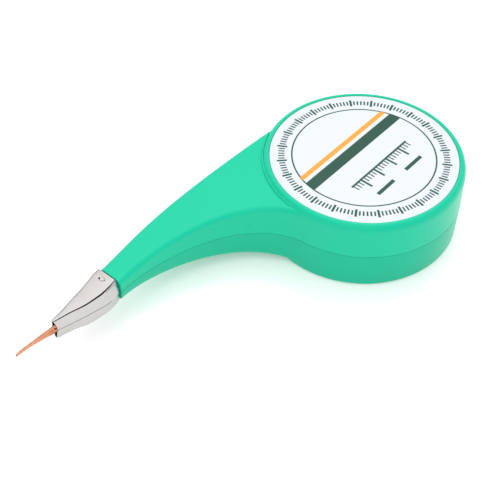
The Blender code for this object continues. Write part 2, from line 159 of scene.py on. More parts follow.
class LabelDesign(bpy.types.PropertyGroup):
    """Sizes and inks of the printed label."""

    ring_radius: length_setting("Ring radius", "Radius of the thin printed ring", 17.55 * MM)
    ticks: IntProperty(
        name="Ticks", description="Short ticks in a full turn of the outer band", default=144, min=12)
    long_arc: angle_setting("Long arc", "Angle over which the longer row of ticks runs", 181.0)
    long_arc_middle: angle_setting("Long arc's middle", "Direction of the longer row of ticks", -98.0)
    short_arc: angle_setting("Short arc", "Angle over which the shorter row of ticks runs", 63.0)
    short_arc_middle: angle_setting("Short arc's middle", "Direction of the shorter row of ticks", 83.0)
    ring_line: length_setting("Ring line", "Width of the thin printed ring", 0.38 * MM)
    paper: colour_setting("Paper", "Colour of the bare label", (0.73, 0.77, 0.83))
    dark_ink: colour_setting("Dark ink", "Colour of ring, ticks and wide stripe", (0.026, 0.09, 0.062))
    bright_ink: colour_setting("Bright ink", "Colour of the narrow stripe", (0.96, 0.38, 0.055))


class NozzleSizes(bpy.types.PropertyGroup):
    """Sizes of the folded metal nozzle."""

    sheet: length_setting("Sheet", "Thickness of the folded sheet", 0.25 * MM)
    seam_rear: length_setting("Seam at the rear", "Width of the open seam at the case", 0.45 * MM)
    seam_mouth: length_setting("Seam at the mouth", "Width of the open seam at the mouth", 0.1 * MM)
    fold_round: length_setting(
        "Fold round", "Outer radius of the folds at the top and bottom edges", 0.42 * MM)
    crease_depth: length_setting(
        "Crease depth", "Depth of the fine groove along the near crease", 0.15 * MM)
    crease_width: length_setting(
        "Crease width", "Width of the fine groove along the near crease", 0.15 * MM)
    mouth_notch: length_setting(
        "Mouth notch", "How far the near crease stands back at the mouth", 0.4 * MM)
    crease_start: FloatProperty(
        name="Crease start", description="Share of the length, from the case, where the groove begins",
        default=0.17, min=0.0, max=1.0)
    stations: IntProperty(
        name="Stations", description="Sections along the nozzle", default=64, min=8)


class BraidSizes(bpy.types.PropertyGroup):
    """Sizes of the woven copper braid."""

    carriers: IntProperty(
        name="Carriers", description="Wire bundles that run each way round the braid", default=8, min=2)
    wires: IntProperty(
        name="Wires", description="Wires side by side in one bundle", default=5, min=1)
    wire_diameter: length_setting("Wire diameter", "Diameter of one copper wire", 0.12 * MM)
    lay: length_setting("Lay length", "Length over which a bundle runs once round the braid", 7.6 * MM)
    tip_drift: length_setting("Tip drift", "How far the free end bends sideways", 0.7 * MM)
    tip_lift: length_setting("Tip lift", "How far the free end rises", 0.15 * MM)
    mouth_twist: angle_setting("Twist at the mouth", "Lean of the braid where it leaves the nozzle", 5.0)
    tip_twist: angle_setting("Twist at the tip", "Lean of the braid at its free end", 27.0)


class Finishes(bpy.types.PropertyGroup):
    """Colours and gloss of the plastic, metal and copper, with the factors that paint shade on the lower
    half and inside the nozzle.
    """

    plastic: colour_setting("Plastic", "Colour of the case", (0.003, 0.575, 0.343))
    plastic_roughness: FloatProperty(
        name="Plastic roughness", description="Gloss of the moulded skin", default=0.3, min=0.0, max=1.0)
    # Painted shade: the lower half's plastic is made this much darker than the upper's, standing in for the
    # lower wall getting less light.
    base_painted_shade: FloatProperty(
        name="Lower half's painted shade", description="Brightness of the lower half's plastic against the upper's",
        default=0.88, min=0.0, max=1.5)
    # Painted shade: the nozzle's inner side, the lap under its seam, the crease's groove and the dimple's
    # pits get the metal at this share of its brightness, standing in for the shade inside the sheet.
    stain_and_inside_shade: FloatProperty(
        name="Inside painted shade", description="Brightness of the nozzle's inner side against its outside",
        default=0.06, min=0.0, max=1.0)
    metal: colour_setting("Nozzle metal", "Colour of the plated sheet", (0.545, 0.525, 0.515))
    copper: colour_setting("Copper", "Colour of the bare copper wire", (0.84, 0.39, 0.225))


class StageSettings(bpy.types.PropertyGroup):
    """Camera, lights and floor."""

    lens: FloatProperty(
        name="Lens", description="Focal length in millimetres on a 36 mm sensor", default=70.67)
    camera_place: FloatVectorProperty(
        name="Camera place", description="Where the camera stands", subtype="TRANSLATION", size=3,
        default=(153.46 * MM, 96.59 * MM, 178.78 * MM), precision=5)
    camera_turn: FloatVectorProperty(
        name="Camera turn", description="Euler angles of the camera", subtype="EULER", size=3,
        default=(math.radians(42.852), 0.0, math.radians(130.98)))
    sky: FloatProperty(
        name="Sky", description="Strength of the even white surroundings", default=0.62, min=0.0)
    key: FloatProperty(
        name="Key light", description="Power of the large soft light overhead", default=3.5, min=0.0)
    side: FloatProperty(
        name="Side light", description="Power of the soft light on the near side", default=0.15, min=0.0)
    streak: FloatProperty(
        name="Streak light", description="Power of the small light that picks out the neck's ridge",
        default=0.6, min=0.0)


def add_object(name, mesh):
    """Put a mesh into the scene as a named object."""
    obj = bpy.data.objects.new(name, mesh)
    bpy.context.scene.collection.objects.link(obj)
    return obj


def mesh_object(name, work):
    """Turn a bmesh into a named object and free it."""
    mesh = bpy.data.meshes.new(name)
    work.to_mesh(mesh)
    work.free()
    return add_object(name, mesh)


def remove_objects(*objects):
    """Delete construction objects."""
    for obj in objects:
        bpy.data.objects.remove(obj, do_unlink=True)


def turned(name, profile, steps, closed=False):
    """Turn (radius, height) points about the Z axis; the profile runs from top to bottom outside."""
    mesh = bpy.data.meshes.new(name)
    points = [(radius, 0.0, height) for radius, height in profile]
    edges = [(i, i + 1) for i in range(len(points) - 1)]
    if closed:
        edges.append((len(points) - 1, 0))
    mesh.from_pydata(points, edges, [])
    obj = add_object(name, mesh)
    screw = obj.modifiers.new("turn", "SCREW")
    screw.axis = "Z"
    screw.angle = math.tau
    screw.steps = steps
    screw.render_steps = steps
    screw.use_merge_vertices = True
    screw.merge_threshold = 0.001 * MM
    return obj


def loft(name, rings):
    """Join rings of equal point count into one solid with flat ends."""
    work = bmesh.new()
    rows = [[work.verts.new(point) for point in ring] for ring in rings]
    count = len(rows[0])
    for row, following in zip(rows, rows[1:]):
        for i in range(count):
            j = (i + 1) % count
            work.faces.new((row[i], row[j], following[j], following[i]))
    work.faces.new(rows[0])
    work.faces.new(list(reversed(rows[-1])))
    bmesh.ops.recalc_face_normals(work, faces=work.faces)
    return mesh_object(name, work)


def block(name, low, high):
    """Make a box between two corners."""
    work = bmesh.new()
    bmesh.ops.create_cube(work, size=1.0)
    size = Vector(high) - Vector(low)
    bmesh.ops.transform(work, matrix=Matrix.Diagonal((*size, 1.0)), verts=work.verts)
    bmesh.ops.translate(work, vec=(Vector(low) + Vector(high)) / 2, verts=work.verts)
    return mesh_object(name, work)


def combine(obj, other, operation):
    """Add one exact Boolean to an object."""
    modifier = obj.modifiers.new(f"{operation.lower()} {other.name}", "BOOLEAN")
    modifier.operation = operation
    modifier.solver = "EXACT"
    modifier.material_mode = "TRANSFER"
    modifier.object = other


def settle(obj):
    """Turn an object's modifiers into its mesh."""
    graph = bpy.context.evaluated_depsgraph_get()
    graph.update()
    mesh = bpy.data.meshes.new_from_object(obj.evaluated_get(graph))
    mesh.name = obj.name
    obj.modifiers.clear()
    obj.data = mesh


def dress(obj, material, body, node):
    """Shade a finished piece, give it its material, hang it on its body and hide the frame's part for its
    node; None keeps the faces' own materials.
    """
    mesh = obj.data
    if material is not None:
        mesh.materials.clear()
        mesh.materials.append(material)
        mesh.polygons.foreach_set("material_index", [0] * len(mesh.polygons))
    mesh.polygons.foreach_set("use_smooth", [True] * len(mesh.polygons))
    mesh.set_sharp_from_angle(angle=SHARP_ANGLE)
    mesh.update()
    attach(obj, body)
    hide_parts(node)


def arc(centre, radii, start, end, steps):
    """Points on an ellipse's arc, angles in degrees."""
    points = []
    for i in range(steps + 1):
        angle = math.radians(start + (end - start) * i / steps)
        points.append((centre[0] + radii[0] * math.cos(angle), centre[1] + radii[1] * math.sin(angle)))
    return points


def bezier(points, share):
    """Cubic Bezier value for four numbers or four points."""
    rest = 1.0 - share
    weights = (rest ** 3, 3 * rest ** 2 * share, 3 * rest * share ** 2, share ** 3)
    if isinstance(points[0], float):
        return sum(weight * value for weight, value in zip(weights, points))
    return sum((weight * Vector(point) for weight, point in zip(weights, points)), Vector((0.0, 0.0)))


def slope(points, share):
    """Unit direction of a cubic Bezier curve in the plan."""
    step = 0.001
    return (bezier(points, share + step) - bezier(points, share - step)).normalized()


def on_circle(radius, angle):
    """Point on a circle about the drum's axis."""
    return Vector((radius * math.cos(angle), radius * math.sin(angle)))


def smooth_share(value):
    """Smooth step of a share between 0 and 1."""
    value = min(max(value, 0.0), 1.0)
    return value * value * (3 - 2 * value)


def neck_rails():
    """Near and far rails of the neck at the parting plane."""
    near_start = on_circle(DRUM_RADIUS, NEAR_START)
    near_end = Vector((NECK_END_X, BRAID_Y + NEAR_END_Y))
    near_pull = Vector((NECK_END_X, BRAID_Y)) + NEAR_PULL
    near = (near_start, near_start + on_circle(NEAR_LEAD, NEAR_START - math.pi / 2), near_pull, near_end)
    far_start = on_circle(DRUM_RADIUS, FAR_START)
    far_end = Vector((NECK_END_X, BRAID_Y + FAR_END_Y))
    far_pull = Vector((NECK_END_X, BRAID_Y)) + FAR_PULL
    far = (far_start, far_start + on_circle(FAR_LEAD, FAR_LEAD_ANGLE), far_pull, far_end)
    return near, far


def place_section(near, far, pairs):
    """Stand a section of (out, height) pairs between a near and a far point."""
    middle = (near + far) / 2
    across = (near - far).normalized()
    ring = []
    for out, height in pairs:
        place = middle + across * out
        ring.append((place.x, place.y, PARTING_Z + height))
    return ring


def closed_section(upper, lower):
    """Whole section from its upper and lower near quarters, both running from the seam to the middle."""
    top = upper + [(-out, height) for out, height in reversed(upper)]
    bottom = [(-out, height) for out, height in lower] + list(reversed(lower))
    return top + bottom[1:-1]


def stand_in(drop, share):
    """How far the upper wall stands in from the seam's edge, at a share of the skirt's height."""
    return 0.75 * drop * share ** 1.2


def neck_section(half_width, half_height, corner, case):
    """Outer section of the neck, with a rounded groove along the seam and a flared skirt above it."""
    groove = case.seam_round
    lean = case.neck_draft * half_height
    skirt = case.skirt_height * half_height / NECK_HALF_HEIGHTS[0]
    top_width = half_width - lean
    lip = arc((half_width - groove, groove), (groove, groove), -90, 0, 4)
    rounding = arc((top_width - corner, half_height - corner), (corner, corner), 0, 90, 12)
    flare = []
    for share in SKIRT_SHARES:
        flare.append((half_width - stand_in(lean, share), groove + (skirt - groove) * share))
    upper = lip + flare + rounding
    lower = [(out, -height) for out, height in lip + rounding]
    return closed_section(upper, lower)


def neck_outside(case):
    """Solid outer shape of the neck, rooted inside the drum's wall."""
    near, far = neck_rails()
    root = 1.0 * MM
    rings = []
    for i in range(case.neck_stations + 1):
        share = i / case.neck_stations
        near_point = bezier(near, share)
        far_point = bezier(far, share)
        if i == 0:
            near_point = on_circle(DRUM_RADIUS - root, NEAR_START)
            far_point = on_circle(DRUM_RADIUS - root, FAR_START)
        corner = case.corner_start + (case.corner_end - case.corner_start) * share
        half_width = (near_point - far_point).length / 2
        pairs = neck_section(half_width, bezier(NECK_HALF_HEIGHTS, share), corner, case)
        rings.append(place_section(near_point, far_point, pairs))
    return loft("neck_outside", rings)


def neck_inside(case):
    """Hollow of the neck, one wall inside the outer shape."""
    near, far = neck_rails()
    end_share = 1 - case.neck_wall / (3 * abs(NEAR_PULL.x))
    rings = []
    for i in range(case.neck_stations + 1):
        share = end_share * i / case.neck_stations
        near_way = slope(near, share)
        far_way = slope(far, share)
        near_point = bezier(near, share) + case.neck_wall * Vector((near_way.y, -near_way.x))
        far_point = bezier(far, share) + case.neck_wall * Vector((-far_way.y, far_way.x))
        half_height = bezier(NECK_HALF_HEIGHTS, share) - case.neck_wall
        if i == 0:
            far_point = Vector((0.0, BRAID_Y - BRAID_THICKNESS / 2 - CLEARANCE / 2))
        if i == case.neck_stations:
            near_point.x = NECK_END_X - case.neck_wall
            far_point.x = NECK_END_X - case.neck_wall
        half_width = (near_point - far_point).length / 2
        top_width = half_width - case.neck_draft * half_height
        corner = half_height / 4
        rounding = arc((top_width - corner, half_height - corner), (corner, corner), 0, 90, 4)
        quarter = [(half_width, 0.0)] + rounding
        pairs = closed_section(quarter, [(out, -height) for out, height in quarter])
        rings.append(place_section(near_point, far_point, pairs))
    return loft("neck_inside", rings)


def root_fillet(name, neck, wall_radius, case, side):
    """Small fillet between the drum's wall and the neck's top (side 1) or bottom (side -1)."""
    tree = BVHTree.FromObject(neck, bpy.context.evaluated_depsgraph_get())
    sunk = 0.012 * MM
    depth = 0.3 * MM
    steps = 160
    levels = []
    for i in range(steps + 1):
        angle = FAR_START + (NEAR_START - FAR_START) * i / steps
        probe = on_circle(wall_radius + case.root_fillet, angle)
        start = Vector((probe.x, probe.y, PARTING_Z + side * CREST_Z))
        hit = tree.ray_cast(start, Vector((0.0, 0.0, -side)))[0]
        if hit is not None and abs(hit.z - PARTING_Z) > NECK_HALF_HEIGHTS[0] - case.corner_start:
            levels.append((angle, hit.z))
    if len(levels) < steps / 2:
        raise RuntimeError(f"{name}: the neck doesn't reach the drum's wall")
    rings = []
    for i, (angle, level) in enumerate(levels):
        share = i / (len(levels) - 1)
        taper = smooth_share(share / 0.04) * smooth_share((1 - share) / 0.08)
        radius = case.root_fillet * max(taper, 0.08)
        hollow = arc((radius, radius), (radius, radius), 180, 270, 6)
        section = [(-depth, radius)] + [(out - sunk, up - sunk) for out, up in hollow]
        section += [(radius, -depth), (-depth, -depth)]
        ring = []
        for out, up in section:
            place = on_circle(wall_radius + out, angle)
            ring.append((place.x, place.y, level + side * up))
        rings.append(ring)
    return loft(name, rings)


def tenon(case):
    """Solid tongue inside the nozzle and the straight way through it."""
    low = (NECK_END_X - case.neck_wall, BRAID_Y - 2.2 * MM, PARTING_Z - 2.5 * MM)
    high = (TENON_END_X, BRAID_Y + 1.9 * MM, PARTING_Z + 2.5 * MM)
    wall = Vector((0.0, 0.7 * MM, 0.7 * MM))
    overcut = Vector((3.0 * MM, 0.0, 0.0))
    tongue = block("tenon", low, high)
    passage = block("tenon_passage", Vector(low) + wall - overcut, Vector(high) - wall + overcut)
    return tongue, passage


def drum_profile(case):
    """Outer profile of the whole drum, from the axis at the top round the side to the axis at the base."""
    recess_z = CREST_Z - case.label_sink
    recess_radius = DRUM_RADIUS - case.draft - case.rim_width
    inner = case.rim_inner_round
    groove = case.seam_round
    wall_radius = DRUM_RADIUS - case.draft
    profile = [(0.0, recess_z), (recess_radius, recess_z)]
    profile += arc((recess_radius + inner, CREST_Z - inner), (inner, inner), 180, 90, 6)
    rim_radii = (case.rim_width - inner, case.rim_drop)
    profile += arc((recess_radius + inner, CREST_Z - case.rim_drop), rim_radii, 90, 0, 20)[1:]
    for share in reversed(SKIRT_SHARES):
        height = PARTING_Z + groove + (case.skirt_height - groove) * share
        profile.append((DRUM_RADIUS - stand_in(case.draft, share), height))
    profile += arc((DRUM_RADIUS - groove, PARTING_Z + groove), (groove, groove), 0, -90, 4)
    profile += arc((DRUM_RADIUS - groove, PARTING_Z - groove), (groove, groove), 90, 0, 4)[1:]
    foot = case.foot_round
    profile += arc((wall_radius - foot, foot), (foot, foot), 0, -90, 8)
    return profile + [(0.0, 0.0)]


def hollow_profile(case, side):
    """Hollow of one half round the boss, the ring rib and, below, the hub post."""
    overcut = 3.0 * MM
    post_radius = COIL_BORE - CLEARANCE
    boss_radius = COIL_BORE + 1.5 * MM
    rib_inner = 18.0 * MM
    rib_outer = rib_inner + 1.2 * MM
    rib = PARTING_Z + side * (BRAID_WIDTH / 2 + CLEARANCE)
    if side < 0:
        end = case.wall
        open_end = PARTING_Z + overcut
        return [
            (CAVITY_RADIUS, open_end), (CAVITY_RADIUS, end), (rib_outer, end), (rib_outer, rib),
            (rib_inner, rib), (rib_inner, end), (boss_radius, end), (boss_radius, rib),
            (post_radius, rib), (post_radius, open_end),
        ]
    end = POST_TOP_Z + CLEARANCE
    open_end = PARTING_Z - overcut
    return [
        (0.0, end), (COIL_BORE, end), (COIL_BORE, rib), (boss_radius, rib), (boss_radius, end),
        (rib_inner, end), (rib_inner, rib), (rib_outer, rib), (rib_outer, end), (CAVITY_RADIUS, end),
        (CAVITY_RADIUS, open_end), (0.0, open_end),
    ]


def post_parts(case):
    """Tubular hub post and its bore."""
    outer = COIL_BORE - CLEARANCE
    inner = outer - 1.5 * MM
    bottom = PARTING_Z - BRAID_WIDTH
    tube = [(outer, POST_TOP_Z), (outer, bottom), (inner, bottom), (inner, POST_TOP_Z)]
    bore = [(0.0, CREST_Z), (inner, CREST_Z), (inner, case.wall), (0.0, case.wall)]
    return turned("post", tube, 96, closed=True), turned("post_bore", bore, 96)


class DISPENSER_OT_case(bpy.types.Operator):
    """Build the upper and lower half of the moulded case."""

    bl_idname = "dispenser.add_case"
    bl_label = "Case"

    def execute(self, context):
        case = context.scene.dispenser_case
        neck = neck_outside(case)
        hollow = neck_inside(case)
        tongue, passage = tenon(case)
        post, post_bore = post_parts(case)
        wall_radius = DRUM_RADIUS - case.draft
        reach = 3 * TIP_X
        finishes = context.scene.dispenser_finishes
        used = [neck, hollow, tongue, passage, post, post_bore]
        # The base gets a darker copy of the plastic: painted shade on the lower half.
        for name, side, node, depth in (
            ("case_top_shell", 1, "case_upper", 1.0),
            ("case_base_shell", -1, "case_lower", finishes.base_painted_shade),
        ):
            half = turned(name, drum_profile(case), case.turn_steps)
            fillet = root_fillet(f"{name}_fillet", neck, wall_radius, case, side)
            edge = PARTING_Z + side * case.seam_gap / 2
            if side > 0:
                away = block("away", (-reach, -reach, -reach), (reach, reach, edge))
            else:
                away = block("away", (-reach, -reach, edge), (reach, reach, reach))
            cavity = turned("cavity", hollow_profile(case, side), 96, closed=side < 0)
            combine(half, neck, "UNION")
            combine(half, fillet, "UNION")
            combine(half, tongue, "UNION")
            combine(half, away, "DIFFERENCE")
            combine(half, cavity, "DIFFERENCE")
            combine(half, hollow, "DIFFERENCE")
            combine(half, passage, "DIFFERENCE")
            if side < 0:
                combine(half, post, "UNION")
                combine(half, post_bore, "DIFFERENCE")
            settle(half)
            if not half.data.polygons:
                raise RuntimeError(f"{name} came out empty")
            dress(half, plastic_material(f"{name}_plastic", finishes, depth), "case", node)
            used += [fillet]
            remove_objects(away, cavity)
        remove_objects(*used)
        return {"FINISHED"}


class DISPENSER_OT_label(bpy.types.Operator):
    """Build the thin printed label in its recess."""

    bl_idname = "dispenser.add_label"
    bl_label = "Label"

    def execute(self, context):
        design = context.scene.dispenser_label
        radius = LABEL_HIGH.x + 0.05 * MM
        edge = 0.06 * MM
        top = arc((radius - edge, LABEL_HIGH.z - edge), (edge, edge), 90, 0, 4)
        profile = [(0.0, LABEL_HIGH.z)] + top + [(radius, LABEL_LOW.z), (0.0, LABEL_LOW.z)]
        label = turned("label_disc", profile, context.scene.dispenser_case.turn_steps)
        settle(label)
        dress(label, label_material(design), "case", "label")
        return {"FINISHED"}


# Each station of the nozzle: share of the length, then y from the braid's middle line of the far top
# edge, the near top edge, the far fold, the near fold and the near bottom edge, then the half height
NOZZLE_STATIONS = (
    (0.00, -3.7 * MM, 2.35 * MM, -4.07 * MM, 2.85 * MM, 2.5 * MM, 3.20 * MM),
    (0.10, -3.5 * MM, 2.6 * MM, -4.0 * MM, 3.4 * MM, 3.0 * MM, 3.20 * MM),
    (0.26, -2.8 * MM, 2.8 * MM, -3.5 * MM, 3.6 * MM, 3.3 * MM, 3.15 * MM),
    (0.42, -2.2 * MM, 2.6 * MM, -2.9 * MM, 3.1 * MM, 3.1 * MM, 3.10 * MM),
    (0.56, -1.8 * MM, 2.3 * MM, -2.4 * MM, 2.65 * MM, 2.7 * MM, 3.10 * MM),
    (0.76, -1.15 * MM, 1.35 * MM, -1.7 * MM, 1.8 * MM, 1.4 * MM, 3.05 * MM),
    (1.00, -0.5 * MM, 0.5 * MM, -0.85 * MM, 0.8 * MM, 0.4 * MM, 3.00 * MM),
)


def station_at(share):
    """Station values at any share of the nozzle's length, joined by smooth cubic pieces."""
    rows = NOZZLE_STATIONS
    index = 0
    while index < len(rows) - 2 and share > rows[index + 1][0]:
        index += 1
    before = rows[max(index - 1, 0)]
    start = rows[index]
    end = rows[index + 1]
    after = rows[min(index + 2, len(rows) - 1)]
    length = end[0] - start[0]
    t = (share - start[0]) / length
    values = []
    for column in range(1, len(start)):
        into = (end[column] - before[column]) / (end[0] - before[0]) * length
        out = (after[column] - start[column]) / (after[0] - start[0]) * length
        h_start = (2 * t ** 3 - 3 * t ** 2 + 1) * start[column] + (t ** 3 - 2 * t ** 2 + t) * into
        h_end = (3 * t ** 2 - 2 * t ** 3) * end[column] + (t ** 3 - t ** 2) * out
        values.append(h_start + h_end)
    return values


def rounded_chain(points, radii, steps):
    """Open chain of points with its inner corners rounded by arcs of the given radii."""
    chain = [points[0]]
    for before, corner, after, radius in zip(points, points[1:], points[2:], radii):
        to_before = (before - corner).normalized()
        to_after = (after - corner).normalized()
        half_angle = to_before.angle(to_after) / 2
        reach = radius / math.tan(half_angle)
        reach = min(reach, 0.45 * (before - corner).length, 0.45 * (after - corner).length)
        start = corner + to_before * reach
        end = corner + to_after * reach
        for i in range(steps + 1):
            share = i / steps
            chain.append(start.lerp(corner, share).lerp(corner.lerp(end, share), share))
    chain.append(points[-1])
    return chain


def moved_in(corners, thickness):
    """The same corners moved to the left of their way by a thickness."""
    inner = []
    for i, corner in enumerate(corners):
        before = corners[max(i - 1, 0)]
        after = corners[min(i + 1, len(corners) - 1)]
        first = (corner - before if i > 0 else after - corner).normalized()
        second = (after - corner if i < len(corners) - 1 else first).normalized()
        bisector = Vector((-first.y - second.y, first.x + second.x))
        inner.append(corner + bisector * thickness / (1 + first.dot(second)))
    return inner


def sheet_corners(share, nozzle, groove):
    """Corners of the sheet's outer side, with a groove of some depth along the near crease."""
    far_top, near_top, far_fold, near_fold, near_bottom, half_height = station_at(share)
    seam = nozzle.seam_rear + (nozzle.seam_mouth - nozzle.seam_rear) * share
    fold = Vector((near_fold, 0.0))
    curl = 0.75 * MM * (1 - smooth_share(share / 0.3))
    shoulder = Vector((near_top, half_height - 0.05 * MM - curl))
    low_edge = Vector((near_bottom, -half_height))
    lap = seam + 0.35 * MM
    beside = nozzle.crease_width / 2
    return [
        Vector((near_top - seam - 0.1 * MM, half_height)),
        Vector((far_top, half_height)),
        Vector((far_fold, 0.0)),
        Vector((far_top, -half_height)),
        low_edge,
        fold + (low_edge - fold).normalized() * beside,
        fold - Vector((groove, 0.0)),
        fold + (shoulder - fold).normalized() * beside,
        shoulder,
        Vector((near_top - 0.06 * MM - 0.4 * curl, half_height - 0.1 * MM)),
        Vector((near_top - lap - 0.4 * curl, half_height - 0.5 * MM)),
    ]


def nozzle_ring(share, nozzle):
    """Section of the folded sheet, from one side of the open seam round to the other."""
    half_height = station_at(share)[-1]
    groove = nozzle.crease_depth * smooth_share((share - nozzle.crease_start) / 0.3)
    edge = nozzle.fold_round
    soft = 0.015 * MM
    radii = (2 * edge, 1.5 * MM, edge, edge, soft, soft, soft, 0.3 * MM, 0.05 * MM)
    tight = [max(radius - nozzle.sheet, 0.02 * MM) for radius in radii]
    outer = rounded_chain(sheet_corners(share, nozzle, groove), radii, CORNER_STEPS)
    inner = rounded_chain(moved_in(sheet_corners(share, nozzle, 0.0), nozzle.sheet), tight, CORNER_STEPS)
    length = MOUTH_X - NOZZLE_LOW.x
    ring = []
    for point in outer + list(reversed(inner)):
        near_side = smooth_share((point.x + 0.1 * MM) / (0.6 * MM))
        level = max(0.0, 1 - abs(point.y) / half_height)
        notch = nozzle.mouth_notch * near_side * level * smooth_share((share - 0.8) / 0.2)
        ring.append((NOZZLE_LOW.x + length * share - notch, BRAID_Y + point.x, PARTING_Z + point.y))
    return ring


def dimple_cutters(half_height, metal, shade):
    """Shallow punched hollow in the top of the nozzle, with a pit at each end; the pits carry the darkened
    material, painted shade in them.
    """
    place = Vector((MOUTH_X - 15.1 * MM, BRAID_Y - 0.5 * MM, PARTING_Z + half_height))
    cutters = []
    shapes = (
        ("dimple", Vector((0.0, 0.0, 0.0)), (1.15 * MM, 1.6 * MM, 0.36 * MM), metal),
        ("pit_far", Vector((0.2 * MM, -0.72 * MM, 0.0)), (0.6 * MM, 0.5 * MM, 0.6 * MM), shade),
        ("pit_near", Vector((-0.1 * MM, 0.72 * MM, 0.0)), (0.34 * MM, 0.3 * MM, 0.5 * MM), shade),
    )
    for name, offset, size, material in shapes:
        work = bmesh.new()
        bmesh.ops.create_uvsphere(work, u_segments=24, v_segments=12, radius=0.5)
        bmesh.ops.transform(work, matrix=Matrix.Diagonal((*size, 1.0)), verts=work.verts)
        bmesh.ops.translate(work, vec=place + offset, verts=work.verts)
        cutter = mesh_object(name, work)
        cutter.data.materials.append(material)
        cutters.append(cutter)
    return cutters


def shade_inside(mesh, nozzle):
    """Give the second, darkened material, painted shade, to the sheet's inner side, the lap under the seam
    and the crease's groove.
    """
    ring_size = len(nozzle_ring(0.0, nozzle))
    half = ring_size // 2
    corner_points = CORNER_STEPS + 1
    groove = set(range(5 * corner_points - 1, 6 * corner_points + 2))
    lap = {half - 3, half - 2, half - 1}
    for polygon in mesh.polygons:
        if len(polygon.vertices) == 4:
            places = {index % ring_size for index in polygon.vertices}
            share = polygon.vertices[0] // ring_size / nozzle.stations
            creased = places <= groove and share > nozzle.crease_start
            polygon.material_index = int(min(places) >= half or places <= lap or creased)


class DISPENSER_OT_nozzle(bpy.types.Operator):
    """Build the nozzle, folded from thin sheet with its seam open."""

    bl_idname = "dispenser.add_nozzle"
    bl_label = "Nozzle"

    def execute(self, context):
        nozzle = context.scene.dispenser_nozzle
        finishes = context.scene.dispenser_finishes
        metal = metal_material("nozzle_metal", finishes, 1.0)
        # Darkened copy of the metal: painted shade for the sheet's inside, the lap, the groove and the
        # dimple's pits.
        shade = metal_material("nozzle_painted_shade_metal", finishes, finishes.stain_and_inside_shade)
        rings = [nozzle_ring(i / nozzle.stations, nozzle) for i in range(nozzle.stations + 1)]
        sheet = loft("nozzle_sheet", rings)
        sheet.data.materials.append(metal)
        sheet.data.materials.append(shade)
        shade_inside(sheet.data, nozzle)
        cutters = dimple_cutters(NOZZLE_STATIONS[0][-1], metal, shade)
        for cutter in cutters:
            combine(sheet, cutter, "DIFFERENCE")
        settle(sheet)
        remove_objects(*cutters)
        if len(sheet.data.polygons) < nozzle.stations * 60:
            raise RuntimeError("nozzle_sheet came out with holes")
        dress(sheet, None, "case", "nozzle")
        return {"FINISHED"}


def stadium(share, width, thickness):
    """Point and outward normal on a flat loop with round ends, at a share of its perimeter."""
    radius = thickness / 2
    straight = width - thickness
    perimeter = 2 * straight + math.tau * radius
    along = (share % 1.0) * perimeter
    if along < straight:
        return Vector((radius, straight / 2 - along)), Vector((1.0, 0.0))
    along -= straight
    if along < math.pi * radius:
        angle = -along / radius
        normal = Vector((math.cos(angle), math.sin(angle)))
        return Vector((0.0, -straight / 2)) + normal * radius, normal
    along -= math.pi * radius
    if along < straight:
        return Vector((-radius, along - straight / 2)), Vector((-1.0, 0.0))
    along -= straight
    angle = math.pi - along / radius
    normal = Vector((math.cos(angle), math.sin(angle)))
    return Vector((0.0, straight / 2)) + normal * radius, normal


def braid_place(x, across, along, braid):
    """Carry a point of the flat braid into the bend, lift and twist of its free end."""
    share = min(max((x - MOUTH_X) / (TIP_X - MOUTH_X), 0.0), 1.0)
    bend = share * (2 - share)
    lead = smooth_share((x - MOUTH_X + 8.0 * MM) / (8.0 * MM))
    twist = braid.mouth_twist * lead + (braid.tip_twist - braid.mouth_twist) * bend
    y = across * math.cos(twist) + along * math.sin(twist)
    z = along * math.cos(twist) - across * math.sin(twist)
    return Vector((x, BRAID_Y - braid.tip_drift * bend + y, PARTING_Z + braid.tip_lift * bend + z))


def tube_rows(work, path, radius, sides):
    """Add a closed round tube along a path of points to a bmesh."""
    rows = []
    for i, point in enumerate(path):
        way = (path[min(i + 1, len(path) - 1)] - path[max(i - 1, 0)]).normalized()
        side = way.cross(Vector((0.0, 1.0, 0.0)))
        if side.length < 0.1:
            side = way.cross(Vector((0.0, 0.0, 1.0)))
        side.normalize()
        other = way.cross(side)
        row = []
        for k in range(sides):
            angle = math.tau * k / sides
            row.append(work.verts.new(point + (side * math.cos(angle) + other * math.sin(angle)) * radius))
        rows.append(row)
    for row, following in zip(rows, rows[1:]):
        for k in range(sides):
            j = (k + 1) % sides
            work.faces.new((row[k], row[j], following[j], following[k]))
    work.faces.new(list(reversed(rows[0])))
    work.faces.new(rows[-1])


def woven_length(name, start_x, end_x, step, sides, braid):
    """Mesh of the braid's wires between two places along X.

    Bundles run both ways round a flat loop, each over two and under two of the others.
    """
    rng = random.Random(7)
    work = bmesh.new()
    radius = braid.wire_diameter / 2
    loop_width = BRAID_WIDTH - 2 * braid.wire_diameter
    loop_thickness = BRAID_THICKNESS - 2 * braid.wire_diameter
    tip_length = 2.0 * MM
    for hand in (1, -1):
        for carrier in range(braid.carriers):
            for wire in range(braid.wires):
                spread = (wire - (braid.wires - 1) / 2) * braid.wire_diameter * WIRE_SPACING
                offset = (carrier + 0.25 * (1 - hand)) / braid.carriers + spread / (2 * loop_width)
                end = end_x - rng.uniform(0.08, 0.35) * MM if end_x == TIP_X else end_x
                count = max(2, round((end - start_x) / step))
                path = []
                for i in range(count + 1):
                    x = start_x + (end - start_x) * i / count
                    turn = (x - NECK_END_X) / braid.lay
                    met = 2 * braid.carriers * turn - 0.5
                    weave = hand * math.sin(math.tau * (2 * carrier + hand * met + 0.5) / 4)
                    from_tip = min(max((TIP_X - x) / tip_length, 0.0), 1.0)
                    narrow = 0.5 + 0.5 * math.sqrt(1 - (1 - from_tip) ** 2)
                    point, normal = stadium(hand * turn + offset, loop_width * narrow, loop_thickness)
                    point = point + normal * radius * WEAVE_HEIGHT * weave
                    path.append(braid_place(x, point.x, point.y, braid))
                tube_rows(work, path, radius, sides)
    return mesh_object(name, work)


